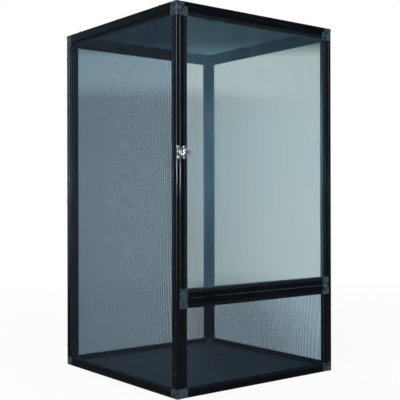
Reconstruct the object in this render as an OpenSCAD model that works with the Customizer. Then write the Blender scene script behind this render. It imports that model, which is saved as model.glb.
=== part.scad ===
// Reptile screen cage: six flat framed panels screwed into a tall box, with a
// glazed door on pivot pins and a small toggle catch.
// Origin: middle of the outline, on the surface that the cage stands on.
// +Z is up and the door faces -Y.

/* [Cage] */
// Width across the side panels
cage_w = 450; // [300:10:600]
// Depth from the front edges to the back panel
cage_d = 450; // [300:10:600]
// Height from the floor to the top of the lid
cage_h = 800; // [560:10:1200]
// Height of the fixed lower front panel
lower_h = 200; // [130:5:300]
// Gap between the door and the panels beside it
door_gap = 0.9; // [0.6:0.1:1.4]
// Gap under and over the door
door_lift = 1; // [0.7:0.1:2]

/* [Bars] */
// Width of a bar across its face
bar_w = 19.5; // [18:0.5:24]
// Thickness of a bar, and so of every panel
bar_t = 8; // [7:0.5:10]
// Width of the hollow box part of a bar
box_w = 11.2; // [10:0.1:12.5]
// Wall of the hollow box part
box_wall = 1; // [0.6:0.1:1.4]
// Wall of the lip and of the groove
lip_wall = 0.9; // [0.6:0.1:1.2]
// Width of the groove that holds the spline
groove_w = 3.4; // [3:0.1:4]
// Thickness left under the groove, back face to groove floor
groove_floor = 3; // [2.6:0.1:3.4]
// How far the lip lies below the outer face
lip_drop = 1.6; // [1:0.1:2]
// Rounding of the two long edges on the outer face
face_round = 1.6; // [0.8:0.1:2.2]
// Rounding of the back edge and of the lip's edge
small_round = 0.7; // [0.4:0.1:0.8]

/* [Corner keys] */
// How much wider than a bar the square corner key is
key_over = 0.5; // [0:0.5:4]
// Length of the leg that a key sends into a bar
leg_len = 24; // [12:1:26]
// Clearance of a leg inside the bar, each side
leg_clear = 0.15; // [0.1:0.05:0.3]
// Border left around the shallow pocket in a key's face
pocket_border = 2.4; // [1.8:0.2:4]
// Depth of the pocket in a key's face
pocket_depth = 0.4; // [0.2:0.1:0.8]

/* [Screens and pane] */
// Diameter of the round spline cord
spline_d = 3.2; // [2.6:0.1:3.3]
// Thickness of the screen cloth
screen_t = 0.5; // [0.3:0.1:0.8]
// Width of one strand of the screen
strand_w = 2; // [1:0.5:4]
// Target distance from strand to strand
strand_pitch = 54; // [50:1:90]
// Thickness of the clear pane in the door
pane_t = 1; // [0.8:0.05:1.2]
// Gap between an infill and the groove or corner key beside it
infill_gap = 0.2; // [0.1:0.1:0.5]
// How far the gasket's flange laps over the pane
gasket_lap = 2.4; // [1.5:0.1:3]

/* [Floor] */
// Thickness of the floor board
board_t = 4; // [3:0.5:8]
// Height of the board's underside
board_z = 4.5; // [4:0.5:8]
// Gap around the floor board
board_gap = 0.5; // [0.3:0.1:2]
// Thickness of the ledge strips
ledge_t = 1.5; // [1:0.1:2.5]
// Width of the ledge under the board
ledge_w = 10; // [8:1:16]
// Height of the ledge strips above the surface under the cage
ledge_foot = 0.5; // [0.3:0.1:1]

/* [Hinge] */
// Diameter of the hinge pins
pin_d = 3; // [2.4:0.1:3.4]
// Radial running clearance of the door on its pins
pin_run = 0.05; // [0.02:0.01:0.09]
// Distance from the door's edge to the pins' axis
pivot_inset = 8; // [7.5:0.1:9]
// How deep a pin goes into the door
pin_in_door = 12; // [8:1:16]
// How deep the lower pin goes into the lower front panel
pin_in_lower = 12; // [8:1:16]
// How deep the upper pin goes into the lid
pin_in_lid = 6; // [4:0.5:6.5]
// Outer diameter of the thrust washer under the door
washer_d = 6.4; // [5:0.2:7]
// Play between the thrust washer and the door
washer_play = 0.15; // [0.1:0.05:0.3]
// Width of the strip that the door closes against
stop_w = 10; // [8:1:14]
// Thickness of that strip
stop_t = 1.5; // [1:0.1:2.5]
// Gap between the closed door and its stop
stop_gap = 0.3; // [0.2:0.1:0.6]

/* [Screws] */
// Diameter of the panel screws
screw_d = 2.4; // [2:0.1:3]
// Radial clearance of a screw in its hole
screw_clear = 0.05; // [0.02:0.01:0.1]
// Radial clearance of a pin in the hole that holds it fast
fast_clear = 0.02; // [0.01:0.01:0.04]
// Diameter of the panel screws' heads
head_d = 6; // [5:0.2:7]
// Height of the panel screws' heads
head_h = 1.6; // [1.2:0.1:2.4]
// Length of the panel screws under the head
screw_len = 14; // [11:0.5:16]
// Distance from the end of a key's leg to the nearest panel screw
screw_past_leg = 4; // [3:0.5:12]
// Distance from the end of a key's leg to the nearest lid screw
lid_screw_past_leg = 18; // [6:1:60]

/* [Toggle catch] */
// Height of the catch above the middle of the door
catch_rise = -1; // [-100:1:100]
// Thickness of the keeper plate
keeper_t = 1; // [0.8:0.1:1.2]
// Height of the keeper plate
keeper_h = 27; // [27:0.5:32]
// Distance between the keeper's screws
keeper_span = 21; // [20:0.5:24]
// Half height of the keeper's hook
hook_half = 3; // [2:0.1:3]
// Reach of the hook out of the door's plane
hook_reach = 5.4; // [5.2:0.1:6.5]
// Overhang of the hook's lip
hook_lip = 0.7; // [0.3:0.1:0.7]
// Thickness of the hook
hook_t = 1; // [0.8:0.1:1]
// Thickness of the base plate on the door
base_t = 1.2; // [0.8:0.1:1.4]
// Half length of the base plate
base_half = 8; // [7:0.5:8]
// Half height of the base plate
base_half_h = 14; // [13.5:0.5:16]
// Distance from the door's edge line to the lever's pivot
lever_x = 8; // [7.5:0.1:8.5]
// Height of the lever's pivot above the door's face
lever_rise = 4.2; // [4:0.1:4.6]
// Diameter of the lever's pivot pin
lever_pin_d = 2; // [1.6:0.1:2.2]
// Width of the lever between its lugs
lever_w = 8; // [7:0.2:8.4]
// Gap between the lever and each lug
lever_gap = 0.4; // [0.2:0.1:0.4]
// Thickness of the lugs
lug_t = 1; // [0.8:0.1:1]
// Distance from the lever's pivot to the bail's pivot
throw_r = 5; // [4.9:0.1:5.5]
// Thickness of the lever
lever_t = 1.3; // [1:0.1:1.6]
// Length of the lever from its pivot to its tip
lever_len = 16.5; // [14:0.5:20]
// Height of the lever's tip above the door's face
tip_rise = 9.3; // [8.6:0.1:12]
// Diameter of the bail's wire
wire_d = 1.6; // [1.4:0.1:1.7]
// Half width of the bail at its pivots
bail_half = 7.6; // [7.6:0.1:8]
// Half width of the bail at the hook
bail_tip_half = 4.2; // [4.1:0.1:5]
// Distance from the bail's bar to the edge line of the door
bail_reach = 3.1; // [3.1:0.1:3.3]

/* [Hidden] */
$fn = 40;

bar_color = [0.09, 0.095, 0.105];
key_color = [0.20, 0.26, 0.29];
screen_color = [0.30, 0.34, 0.36];
rubber_color = [0.06, 0.06, 0.065];
pane_color = [0.72, 0.80, 0.84, 0.35];
board_color = [0.13, 0.15, 0.18];
steel_color = [0.74, 0.74, 0.72];
screw_color = [0.17, 0.18, 0.19];
washer_color = [0.82, 0.81, 0.76];

// Cuts reach this far past the face they open.
cut = 1;

key_size = bar_w + key_over;
screw_end = key_size + leg_len + screw_past_leg;
lid_screw_end = key_size + leg_len + lid_screw_past_leg;
washer_t = door_lift - washer_play;
// The gasket's flange fills what the pane leaves of the lip's drop.
gasket_flange = lip_drop - pane_t - infill_gap;

// Outer width and height of each panel, seen from outside the cage.
side_h = cage_h - bar_t;
inner_w = cage_w - 2 * bar_t;
door_z = lower_h + door_lift;
side_size = [cage_d, side_h];
back_size = [inner_w, side_h];
lower_size = [inner_w, lower_h];
door_size = [inner_w - 2 * door_gap, side_h - door_z - door_lift];
lid_size = [cage_w, cage_d];

// Heights in a bar's section, counted from its inner face.
lip_top = bar_t - lip_drop;
groove_end = box_w + groove_w;
screw_line = bar_t / 2;

// The catch stands proud of the front, so the whole cage is set back by half
// of that to keep the origin in the middle of the outline.
front_reach = tip_rise;
set_back = front_reach / 2;

// ---- places of the panels ----
// A panel is drawn with X to the right and Z up as seen from outside, with its
// outer face at y = -bar_t and its inner face at y = 0.

module in_place() { translate([0, set_back, 0]) children(); }

module on_left() {
    in_place() translate([bar_t - cage_w / 2, cage_d / 2, 0]) rotate([0, 0, -90]) children();
}

module on_right() {
    in_place() translate([cage_w / 2 - bar_t, -cage_d / 2, 0]) rotate([0, 0, 90]) children();
}

module on_back() {
    in_place() translate([inner_w / 2, cage_d / 2 - bar_t, 0]) rotate([0, 0, 180]) children();
}

module on_lower() {
    in_place() translate([-inner_w / 2, bar_t - cage_d / 2, 0]) children();
}

module on_door() {
    in_place() translate([-door_size[0] / 2, bar_t - cage_d / 2, door_z]) children();
}

module on_lid() {
    in_place() translate([-cage_w / 2, -cage_d / 2, side_h]) rotate([-90, 0, 0]) children();
}

// ---- bars ----

// Square corner less its quarter circle, with the corner at the origin.
module corner_cut(r) {
    difference() {
        translate([-cut, -cut]) square(r + cut);
        translate([r, r]) circle(r);
    }
}

// Section of a bar: x from its outer edge, y = 0 inner face, y = -bar_t outer face.
module bar_section() {
    difference() {
        translate([0, -bar_t]) square([bar_w, bar_t]);
        // groove for the spline, and the lip's drop below the face
        translate([box_w, -bar_t - cut]) square([groove_w, bar_t + cut - groove_floor]);
        translate([box_w, -bar_t - cut]) square([bar_w - box_w + cut, lip_drop + cut]);
        // hollow of the box, and of the lip
        translate([box_wall, box_wall - bar_t])
            square([box_w - 2 * box_wall, bar_t - 2 * box_wall]);
        translate([box_w, lip_wall - groove_floor])
            square([bar_w - box_w - lip_wall, groove_floor - 2 * lip_wall]);
        translate([groove_end + lip_wall, lip_wall - lip_top])
            square([bar_w - groove_end - 2 * lip_wall, lip_top - 2 * lip_wall]);
        // rounded long edges
        translate([0, -bar_t]) corner_cut(face_round);
        mirror([0, 1]) corner_cut(small_round);
        translate([box_w, -bar_t]) mirror([1, 0]) corner_cut(small_round);
        translate([bar_w, -lip_top]) mirror([1, 0]) corner_cut(small_round);
    }
}

module left_bar(size) {
    translate([0, 0, key_size]) linear_extrude(size[1] - 2 * key_size) bar_section();
}

module right_bar(size) {
    translate([size[0], 0, 0]) mirror([1, 0, 0]) left_bar(size);
}

module bottom_bar(size) {
    mirror([1, 0, -1]) left_bar([size[1], size[0]]);
}

module top_bar(size) {
    translate([0, 0, size[1]]) mirror([0, 0, 1]) bottom_bar(size);
}

// Drill through a panel from face to face, at each height.
module face_drill(x, heights) {
    for (z = heights)
        translate([x, cut, z]) rotate([90, 0, 0])
            cylinder(h = bar_t + 2 * cut, r = screw_d / 2 + screw_clear);
}

// Drill through the wall at a bar's outer edge, at each height.
module edge_drill(x, heights, d) {
    for (z = heights)
        translate([x, -screw_line, z]) rotate([0, 90, 0])
            cylinder(h = 2 * (box_wall + cut), r = d / 2 + screw_clear, center = true);
}

// ---- corner keys ----

// One key's outline, square to one of its two outer edges.
module key_section() {
    difference() {
        translate([0, -bar_t]) square([key_size, bar_t]);
        translate([0, -bar_t]) corner_cut(face_round);
        mirror([0, 1]) corner_cut(small_round);
        translate([key_size, -bar_t]) mirror([1, 0]) corner_cut(small_round);
    }
}

module key_leg() {
    leg_x = box_w - 2 * box_wall - 2 * leg_clear;
    leg_y = bar_t - 2 * box_wall - 2 * leg_clear;
    translate([box_wall + leg_clear, -box_wall - leg_clear - leg_y, key_size - cut])
        cube([leg_x, leg_y, leg_len + cut]);
}

module corner_key() {
    pocket = key_size - 2 * pocket_border;
    difference() {
        intersection() {
            linear_extrude(key_size) key_section();
            mirror([1, 0, -1]) linear_extrude(key_size) key_section();
        }
        translate([pocket_border, -bar_t - cut, pocket_border])
            cube([pocket, pocket_depth + cut, pocket]);
    }
    key_leg();
    mirror([1, 0, -1]) key_leg();
}

module corner_keys(size) {
    for (right = [0, 1], top = [0, 1])
        translate([right * size[0], 0, top * size[1]])
            mirror([right, 0, 0]) mirror([0, 0, top]) corner_key();
}

// ---- what fills the panels ----

// Outline of a screen or pane: it lies on the lips and is cut out at the keys.
module infill_outline(size) {
    edge = groove_end + infill_gap;
    notch = key_size + infill_gap;
    difference() {
        translate([edge, edge]) square([size[0] - 2 * edge, size[1] - 2 * edge]);
        for (x = [0, size[0] - notch], y = [0, size[1] - notch])
            translate([x, y]) square(notch);
    }
}

module screen(size) {
    open = [size[0] - 2 * bar_w, size[1] - 2 * bar_w];
    count = [max(1, round(open[0] / strand_pitch)), max(1, round(open[1] / strand_pitch))];
    cell = [(open[0] + strand_w) / count[0] - strand_w, (open[1] + strand_w) / count[1] - strand_w];
    translate([0, -lip_top, 0]) rotate([90, 0, 0]) linear_extrude(screen_t) difference() {
        infill_outline(size);
        for (i = [0 : count[0] - 1], j = [0 : count[1] - 1])
            translate([bar_w + i * (cell[0] + strand_w), bar_w + j * (cell[1] + strand_w)])
                square(cell);
    }
}

module pane(size) {
    translate([0, -lip_top, 0]) rotate([90, 0, 0]) linear_extrude(pane_t) infill_outline(size);
}

// Four straight strips, one in each bar's groove, cut to the bars' length.
module four_strips(size) {
    for (right = [0, 1])
        translate([right * size[0], 0, 0]) mirror([right, 0, 0]) strip_run(size[1]) children();
    for (top = [0, 1])
        translate([0, 0, top * size[1]]) mirror([0, 0, top]) mirror([1, 0, -1])
            strip_run(size[0]) children();
}

module strip_run(length) {
    translate([0, 0, key_size + infill_gap])
        linear_extrude(length - 2 * (key_size + infill_gap)) children();
}

module spline(size) {
    centre = [box_w + groove_w / 2, -groove_floor - spline_d / 2];
    four_strips(size) translate(centre) circle(d = spline_d);
}

module gasket(size) {
    stem_w = groove_w - infill_gap;
    flange_y = lip_top + pane_t;
    four_strips(size) translate([box_w + infill_gap / 2, 0]) {
        translate([0, -flange_y]) square([stem_w, flange_y - groove_floor]);
        translate([0, -flange_y - gasket_flange])
            square([groove_w + gasket_lap, gasket_flange]);
    }
}

// ---- screws ----

// Pan-head screw along Z: the head stands on z = 0 and the shank points down.
module screw(d, head, height, length) {
    slot_w = head * 0.14;
    slot_l = head * 0.56;
    difference() {
        rotate_extrude() polygon([
            [0, 0], [head / 2, 0], [head / 2, height * 0.35], [head * 0.43, height * 0.7],
            [head * 0.28, height * 0.93], [0, height]
        ]);
        for (a = [0, 90])
            rotate([0, 0, a]) translate([-slot_l / 2, -slot_w / 2, height * 0.45])
                cube([slot_l, slot_w, height]);
    }
    translate([0, 0, d / 2 - length]) cylinder(h = length - d / 2, d = d);
    translate([0, 0, -length]) cylinder(h = d / 2, d1 = d / 3, d2 = d);
}

module panel_screw() { screw(screw_d, head_d, head_h, screw_len); }

// Heights of the screws into the low front panel and into the back panel.
low_screws = [screw_end, lower_h - screw_end];
tall_screws = [screw_end, side_h / 2, side_h - screw_end];

// Screws on a side panel's outer face, at distance x from one of its ends.
module side_screws(x, heights) {
    for (z = heights) translate([x, -bar_t, z]) rotate([90, 0, 0]) panel_screw();
}

lid_screw_places = [lid_screw_end, cage_d / 2, cage_d - lid_screw_end];

// ---- left panel: x = 0 is its back edge ----

module left_front_stile() {
    color(bar_color) on_left() difference() {
        right_bar(side_size);
        face_drill(cage_d - screw_line, low_screws);
        edge_drill(cage_d, keeper_heights, keeper_screw_d);
    }
}

module left_back_stile() {
    color(bar_color) on_left() difference() {
        left_bar(side_size);
        face_drill(screw_line, tall_screws);
    }
}

module left_top_rail() {
    color(bar_color) on_left() difference() {
        top_bar(side_size);
        top_rail_drill(cage_d);
    }
}

module left_bottom_rail() { color(bar_color) on_left() bottom_bar(side_size); }

module left_corner_keys() { color(key_color) on_left() corner_keys(side_size); }

module left_screen() { color(screen_color) on_left() screen(side_size); }

module left_spline() { color(rubber_color) on_left() spline(side_size); }

// Pilot holes in a side panel's top rail for the lid's screws.
module top_rail_drill(length) {
    for (x = lid_screw_places)
        translate([x, -screw_line, side_h])
            cylinder(h = 2 * (box_wall + cut), r = screw_d / 2 + screw_clear, center = true);
}

// ---- right panel: x = 0 is its front edge ----

module right_front_stile() {
    color(bar_color) on_right() difference() {
        left_bar(side_size);
        face_drill(screw_line, low_screws);
    }
}

module right_back_stile() {
    color(bar_color) on_right() difference() {
        right_bar(side_size);
        face_drill(cage_d - screw_line, tall_screws);
    }
}

module right_top_rail() {
    color(bar_color) on_right() difference() {
        top_bar(side_size);
        top_rail_drill(cage_d);
    }
}

module right_bottom_rail() { color(bar_color) on_right() bottom_bar(side_size); }

module right_corner_keys() { color(key_color) on_right() corner_keys(side_size); }

module right_screen() { color(screen_color) on_right() screen(side_size); }

module right_spline() { color(rubber_color) on_right() spline(side_size); }

// ---- back panel: x = 0 is at the cage's right side ----

module back_left_stile() {
    color(bar_color) on_back() difference() {
        right_bar(back_size);
        edge_drill(inner_w, tall_screws, screw_d);
    }
}

module back_right_stile() {
    color(bar_color) on_back() difference() {
        left_bar(back_size);
        edge_drill(0, tall_screws, screw_d);
    }
}

module back_top_rail() { color(bar_color) on_back() top_bar(back_size); }

module back_bottom_rail() { color(bar_color) on_back() bottom_bar(back_size); }

module back_corner_keys() { color(key_color) on_back() corner_keys(back_size); }

module back_screen() { color(screen_color) on_back() screen(back_size); }

module back_spline() { color(rubber_color) on_back() spline(back_size); }

// ---- lower front panel ----

module lower_left_stile() {
    color(bar_color) on_lower() difference() {
        left_bar(lower_size);
        edge_drill(0, low_screws, screw_d);
    }
}

module lower_right_stile() {
    color(bar_color) on_lower() difference() {
        right_bar(lower_size);
        edge_drill(inner_w, low_screws, screw_d);
    }
}

module lower_top_rail() { color(bar_color) on_lower() top_bar(lower_size); }

module lower_bottom_rail() { color(bar_color) on_lower() bottom_bar(lower_size); }

module lower_corner_keys() {
    color(key_color) difference() {
        on_lower() corner_keys(lower_size);
        at_pivot() translate([0, 0, lower_h - pin_in_lower])
            cylinder(h = pin_in_lower + cut, r = pin_d / 2 + fast_clear);
    }
}

module lower_screen() { color(screen_color) on_lower() screen(lower_size); }

module lower_spline() { color(rubber_color) on_lower() spline(lower_size); }

// ---- door ----

module door_left_stile() {
    color(bar_color) difference() {
        on_door() left_bar(door_size);
        at_catch() for (z = [-base_screw_z, base_screw_z])
            translate([base_x, catch_screw_len, z]) rotate([90, 0, 0])
                cylinder(h = catch_screw_len + cut, r = catch_screw_d / 2 + screw_clear);
    }
}

module door_right_stile() { color(bar_color) on_door() right_bar(door_size); }

module door_top_rail() { color(bar_color) on_door() top_bar(door_size); }

module door_bottom_rail() { color(bar_color) on_door() bottom_bar(door_size); }

module door_corner_keys() {
    bore_len = pin_in_door + cut;
    door_top = door_z + door_size[1];
    color(key_color) difference() {
        on_door() corner_keys(door_size);
        at_pivot() translate([0, 0, door_z - cut])
            cylinder(h = bore_len + cut, r = pin_d / 2 + pin_run);
        at_pivot() translate([0, 0, door_top - bore_len])
            cylinder(h = bore_len + cut, r = pin_d / 2 + pin_run);
    }
}

module door_pane() { color(pane_color) on_door() pane(door_size); }

module door_gasket() { color(rubber_color) on_door() gasket(door_size); }

// ---- lid: x = 0 is its left edge and z = 0 its front edge ----

module lid_front_rail() { color(bar_color) on_lid() bottom_bar(lid_size); }

module lid_back_rail() { color(bar_color) on_lid() top_bar(lid_size); }

module lid_left_rail() {
    color(bar_color) on_lid() difference() {
        left_bar(lid_size);
        face_drill(screw_line, lid_screw_places);
    }
}

module lid_right_rail() {
    color(bar_color) on_lid() difference() {
        right_bar(lid_size);
        face_drill(cage_w - screw_line, lid_screw_places);
    }
}

module lid_corner_keys() {
    color(key_color) difference() {
        on_lid() corner_keys(lid_size);
        at_pivot() translate([0, 0, side_h - cut])
            cylinder(h = pin_in_lid + cut, r = pin_d / 2 + fast_clear);
    }
}

module lid_screen() { color(screen_color) on_lid() screen(lid_size); }

module lid_spline() { color(rubber_color) on_lid() spline(lid_size); }

// ---- floor ----

module floor_board() {
    board = [inner_w - 2 * board_gap, cage_d - 2 * bar_t - 2 * board_gap];
    color(board_color) in_place() translate([-board[0] / 2, -board[1] / 2, board_z])
        cube([board[0], board[1], board_t]);
}

// Angle strip along Y: its flange lies under the board, its web on the rail.
module ledge(length) {
    top = board_z - ledge_foot;
    rotate([90, 0, 0]) linear_extrude(length, center = true) {
        square([ledge_t, top]);
        translate([0, top - ledge_t]) square([ledge_w, ledge_t]);
    }
}

module ledge_pair(apart, length) {
    for (side = [0, 1])
        mirror([side, 0, 0]) translate([-apart / 2, 0, ledge_foot]) ledge(length);
}

module side_floor_ledges() {
    color(bar_color) in_place() ledge_pair(inner_w, cage_d - 2 * bar_t - 2 * key_size);
}

module end_floor_ledges() {
    color(bar_color) in_place() rotate([0, 0, 90])
        ledge_pair(cage_d - 2 * bar_t, inner_w - 2 * key_size);
}

// ---- hinge and door stop ----

module at_pivot() {
    in_place() translate([door_size[0] / 2 - pivot_inset, screw_line - cage_d / 2, 0]) children();
}

module hinge_pin_bottom() {
    color(steel_color) at_pivot() translate([0, 0, lower_h - pin_in_lower])
        cylinder(h = pin_in_lower + door_lift + pin_in_door, d = pin_d);
}

module hinge_pin_top() {
    color(steel_color) at_pivot() translate([0, 0, side_h - door_lift - pin_in_door])
        cylinder(h = pin_in_door + door_lift + pin_in_lid, d = pin_d);
}

module hinge_washer() {
    color(washer_color) at_pivot() translate([0, 0, lower_h]) difference() {
        cylinder(h = washer_t, d = washer_d);
        translate([0, 0, -cut]) cylinder(h = washer_t + 2 * cut, r = pin_d / 2 + pin_run);
    }
}

// Angle strip on the left panel, just behind the closed door.
module door_stop() {
    color(bar_color) in_place()
        translate([-inner_w / 2, bar_t - cage_d / 2 + stop_gap, lower_h + key_size])
            linear_extrude(side_h - lower_h - 2 * key_size) {
                square([stop_w, stop_t]);
                square([stop_t, stop_w]);
            }
}

// ---- screws that join the panels ----

module left_panel_screws() {
    color(screw_color) on_left() {
        side_screws(cage_d - screw_line, low_screws);
        side_screws(screw_line, tall_screws);
    }
}

module right_panel_screws() {
    color(screw_color) on_right() {
        side_screws(screw_line, low_screws);
        side_screws(cage_d - screw_line, tall_screws);
    }
}

module lid_screws() {
    color(screw_color) on_lid() for (x = [screw_line, cage_w - screw_line])
        side_screws(x, lid_screw_places);
}

// ---- toggle catch ----
// x = 0 is the left panel's inner face, y is negative outwards from the
// cage's front, and z = 0 is the middle of the catch.

catch_z = door_z + door_size[1] / 2 + catch_rise;
keeper_x = -bar_t / 2;
keeper_screw_d = 2.2;
keeper_heights = [catch_z - keeper_span / 2, catch_z + keeper_span / 2];
keeper_screw_len = 7;
catch_screw_d = 2.2;
catch_screw_len = 6;
catch_head_d = 4.8;
catch_head_h = 1.3;
base_past_lever = 2.5;
base_x = lever_x + base_past_lever;
base_screw_z = 10.3;
lug_in = lever_w / 2 + lever_gap;
bail_x = lever_x + throw_r;
bar_rise = 3.2;
barrel_r = 2;
bail_barrel_r = 1.7;
bail_barrel_half = bail_half - wire_d / 2 - lever_gap;
bend_swell = 1.04;

module at_catch() {
    in_place() translate([-inner_w / 2, -cage_d / 2, catch_z]) children();
}

// Turns a drawing in x and outward height into a solid centred on z = 0.
module across(width) {
    linear_extrude(width, center = true) mirror([0, 1]) children();
}

// Turns a drawing in x and z into a plate that stands on the front face.
module flat_on(height, thickness) {
    translate([0, -height, 0]) rotate([90, 0, 0]) linear_extrude(thickness) children();
}

module keeper_plate() {
    half_h = keeper_h / 2;
    left = -bar_t;
    right = -infill_gap;
    waist = 1.6;
    flange_low = 8;
    waist_high = 6;
    post = -hook_t - 0.4;
    color(steel_color) at_catch() {
        difference() {
            flat_on(0, keeper_t) polygon([
                [left, -half_h], [right, -half_h], [right, half_h], [left, half_h],
                [left, flange_low], [left + waist, waist_high],
                [left + waist, -waist_high], [left, -flange_low]
            ]);
            for (z = [-keeper_span / 2, keeper_span / 2])
                translate([keeper_x, cut, z]) rotate([90, 0, 0])
                    cylinder(h = keeper_t + 2 * cut, r = keeper_screw_d / 2 + screw_clear);
        }
        across(2 * hook_half) {
            translate([post, keeper_t / 2]) square([hook_t, hook_reach - keeper_t / 2]);
            translate([post - hook_lip, hook_reach - hook_t]) square([hook_t + hook_lip, hook_t]);
        }
    }
}

module keeper_screws() {
    color(steel_color) at_catch() for (z = [-keeper_span / 2, keeper_span / 2])
        translate([keeper_x, -keeper_t, z]) rotate([90, 0, 0])
            screw(keeper_screw_d, catch_head_d, catch_head_h, keeper_screw_len);
}

// Outline of the base plate, drawn in by inset on every side.
module base_outline(inset) {
    end_half = 6;
    crown = 2;
    hx = base_half - inset;
    hz = base_half_h - inset;
    translate([base_x, 0]) polygon([
        [-hx, -end_half], [-crown, -hz], [crown, -hz], [hx, -end_half],
        [hx, end_half], [crown, hz], [-crown, hz], [-hx, end_half]
    ]);
}

module latch_base() {
    lug_r = 2.6;
    rim = 0.6;
    step = base_t * 0.6;
    color(steel_color) at_catch() difference() {
        union() {
            flat_on(0, step) base_outline(0);
            flat_on(step, base_t - step) base_outline(rim);
            for (side = [-1, 1])
                translate([0, 0, side * (lug_in + lug_t / 2)]) across(lug_t) {
                    translate([lever_x, lever_rise]) circle(lug_r);
                    translate([lever_x - lug_r, base_t / 2])
                        square([2 * lug_r, lever_rise - base_t / 2]);
                }
        }
        translate([lever_x, -lever_rise, 0])
            cylinder(h = 4 * lug_in, r = lever_pin_d / 2 + fast_clear, center = true);
        for (z = [-base_screw_z, base_screw_z])
            translate([base_x, cut, z]) rotate([90, 0, 0])
                cylinder(h = base_t + 2 * cut, r = catch_screw_d / 2 + screw_clear);
    }
}

module latch_screws() {
    color(steel_color) at_catch() for (z = [-base_screw_z, base_screw_z])
        translate([base_x, -base_t, z]) rotate([90, 0, 0])
            screw(catch_screw_d, catch_head_d, catch_head_h, catch_screw_len);
}

module latch_pin() {
    head_t = 0.7;
    head_r = lever_pin_d * 0.75;
    reach = lug_in + lug_t;
    color(steel_color) at_catch() translate([lever_x, -lever_rise, 0]) {
        cylinder(h = 2 * reach, d = lever_pin_d, center = true);
        for (side = [-1, 1])
            translate([0, 0, side * (reach + head_t / 2)])
                cylinder(h = head_t, r = head_r, center = true);
    }
}

// The lever seen along its pivot: a flat tongue that rises to a lifted bill.
module lever_profile() {
    flat_end = lever_x + 6;
    bend = flat_end + 5;
    bend_lift = 0.6;
    edge = 0.8;
    top = lever_rise + barrel_r;
    tip = lever_x + lever_len;
    polygon([
        [lever_x, top - lever_t], [lever_x, top], [flat_end, top], [bend, top + bend_lift],
        [tip - edge, tip_rise], [tip, tip_rise - edge],
        [bend + bend_lift, top + bend_lift - lever_t], [flat_end, top - lever_t]
    ]);
    translate([lever_x, lever_rise]) circle(barrel_r);
}

// The lever seen from the front: straight sides, then a flared bill.
module lever_plan() {
    half = lever_w / 2;
    tip = lever_x + lever_len;
    foot = lever_x - barrel_r - cut;
    flare_x = lever_x + 9;
    flare = 1.2;
    wide_x = tip - 3.5;
    nose = 0.8;
    polygon([
        [foot, -half], [flare_x, -half], [wide_x, -half - flare], [tip - 1, -half - nose],
        [tip + cut, -half + nose], [tip + cut, half - nose], [tip - 1, half + nose],
        [wide_x, half + flare], [flare_x, half], [foot, half]
    ]);
}

module latch_lever() {
    color(steel_color) at_catch() difference() {
        union() {
            intersection() {
                across(2 * bail_half) lever_profile();
                flat_on(0, 2 * tip_rise) lever_plan();
            }
            across(2 * bail_barrel_half) translate([bail_x, lever_rise]) circle(bail_barrel_r);
        }
        translate([lever_x, -lever_rise, 0])
            cylinder(h = 2 * lever_w, r = lever_pin_d / 2 + pin_run, center = true);
        translate([bail_x, -lever_rise, 0])
            cylinder(h = 4 * bail_half, r = wire_d / 2 + pin_run, center = true);
    }
}

// Round wire from point to point, with a slightly swollen ball at each bend.
module wire(points) {
    for (i = [1 : len(points) - 1]) {
        run = points[i] - points[i - 1];
        length = norm(run);
        translate(points[i - 1])
            rotate([0, acos(run[2] / length), atan2(run[1], run[0])])
                cylinder(h = length, d = wire_d);
        if (i < len(points) - 1) translate(points[i]) sphere(d = wire_d * bend_swell);
    }
}

module latch_bail() {
    end_in = 2.6;
    knee_x = lever_x - 6;
    knee_rise = bar_rise + (lever_rise - bar_rise) * (knee_x + bail_reach) / (bail_x + bail_reach);
    half_loop = [
        [bail_x, -lever_rise, bail_barrel_half - end_in],
        [bail_x, -lever_rise, bail_half],
        [knee_x, -knee_rise, bail_half],
        [-bail_reach, -bar_rise, bail_tip_half]
    ];
    other_half = [for (i = [len(half_loop) - 1 : -1 : 0])
        [half_loop[i][0], half_loop[i][1], -half_loop[i][2]]];
    color(steel_color) at_catch() wire(concat(half_loop, other_half));
}

left_front_stile();
left_back_stile();
left_top_rail();
left_bottom_rail();
left_corner_keys();
left_screen();
left_spline();
right_front_stile();
right_back_stile();
right_top_rail();
right_bottom_rail();
right_corner_keys();
right_screen();
right_spline();
back_left_stile();
back_right_stile();
back_top_rail();
back_bottom_rail();
back_corner_keys();
back_screen();
back_spline();
lower_left_stile();
lower_right_stile();
lower_top_rail();
lower_bottom_rail();
lower_corner_keys();
lower_screen();
lower_spline();
door_left_stile();
door_right_stile();
door_top_rail();
door_bottom_rail();
door_corner_keys();
door_pane();
door_gasket();
lid_front_rail();
lid_back_rail();
lid_left_rail();
lid_right_rail();
lid_corner_keys();
lid_screen();
lid_spline();
floor_board();
side_floor_ledges();
end_floor_ledges();
door_stop();
hinge_pin_top();
hinge_pin_bottom();
hinge_washer();
left_panel_screws();
right_panel_screws();
lid_screws();
keeper_plate();
keeper_screws();
latch_base();
latch_screws();
latch_pin();
latch_lever();
latch_bail();
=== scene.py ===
"""Dresses a screen cage: its woven screens, the finish of every other part, and the stage."""

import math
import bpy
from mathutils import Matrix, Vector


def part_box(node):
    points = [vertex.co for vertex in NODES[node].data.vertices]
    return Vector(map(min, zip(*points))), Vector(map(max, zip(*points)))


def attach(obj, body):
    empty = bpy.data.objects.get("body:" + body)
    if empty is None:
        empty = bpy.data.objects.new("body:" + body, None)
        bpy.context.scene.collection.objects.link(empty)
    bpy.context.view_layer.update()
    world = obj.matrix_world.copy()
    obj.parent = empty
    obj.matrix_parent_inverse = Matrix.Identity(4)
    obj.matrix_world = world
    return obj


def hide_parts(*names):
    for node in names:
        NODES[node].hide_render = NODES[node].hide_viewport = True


bl_info = {
    "name": "Screen cage looks",
    "version": (1, 0, 0),
    "blender": (4, 5, 0),
    "location": "View3D > Sidebar > Cage",
    "description": "Weaves the screens, gives each part its finish and sets the stage",
    "category": "Object",
}

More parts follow.
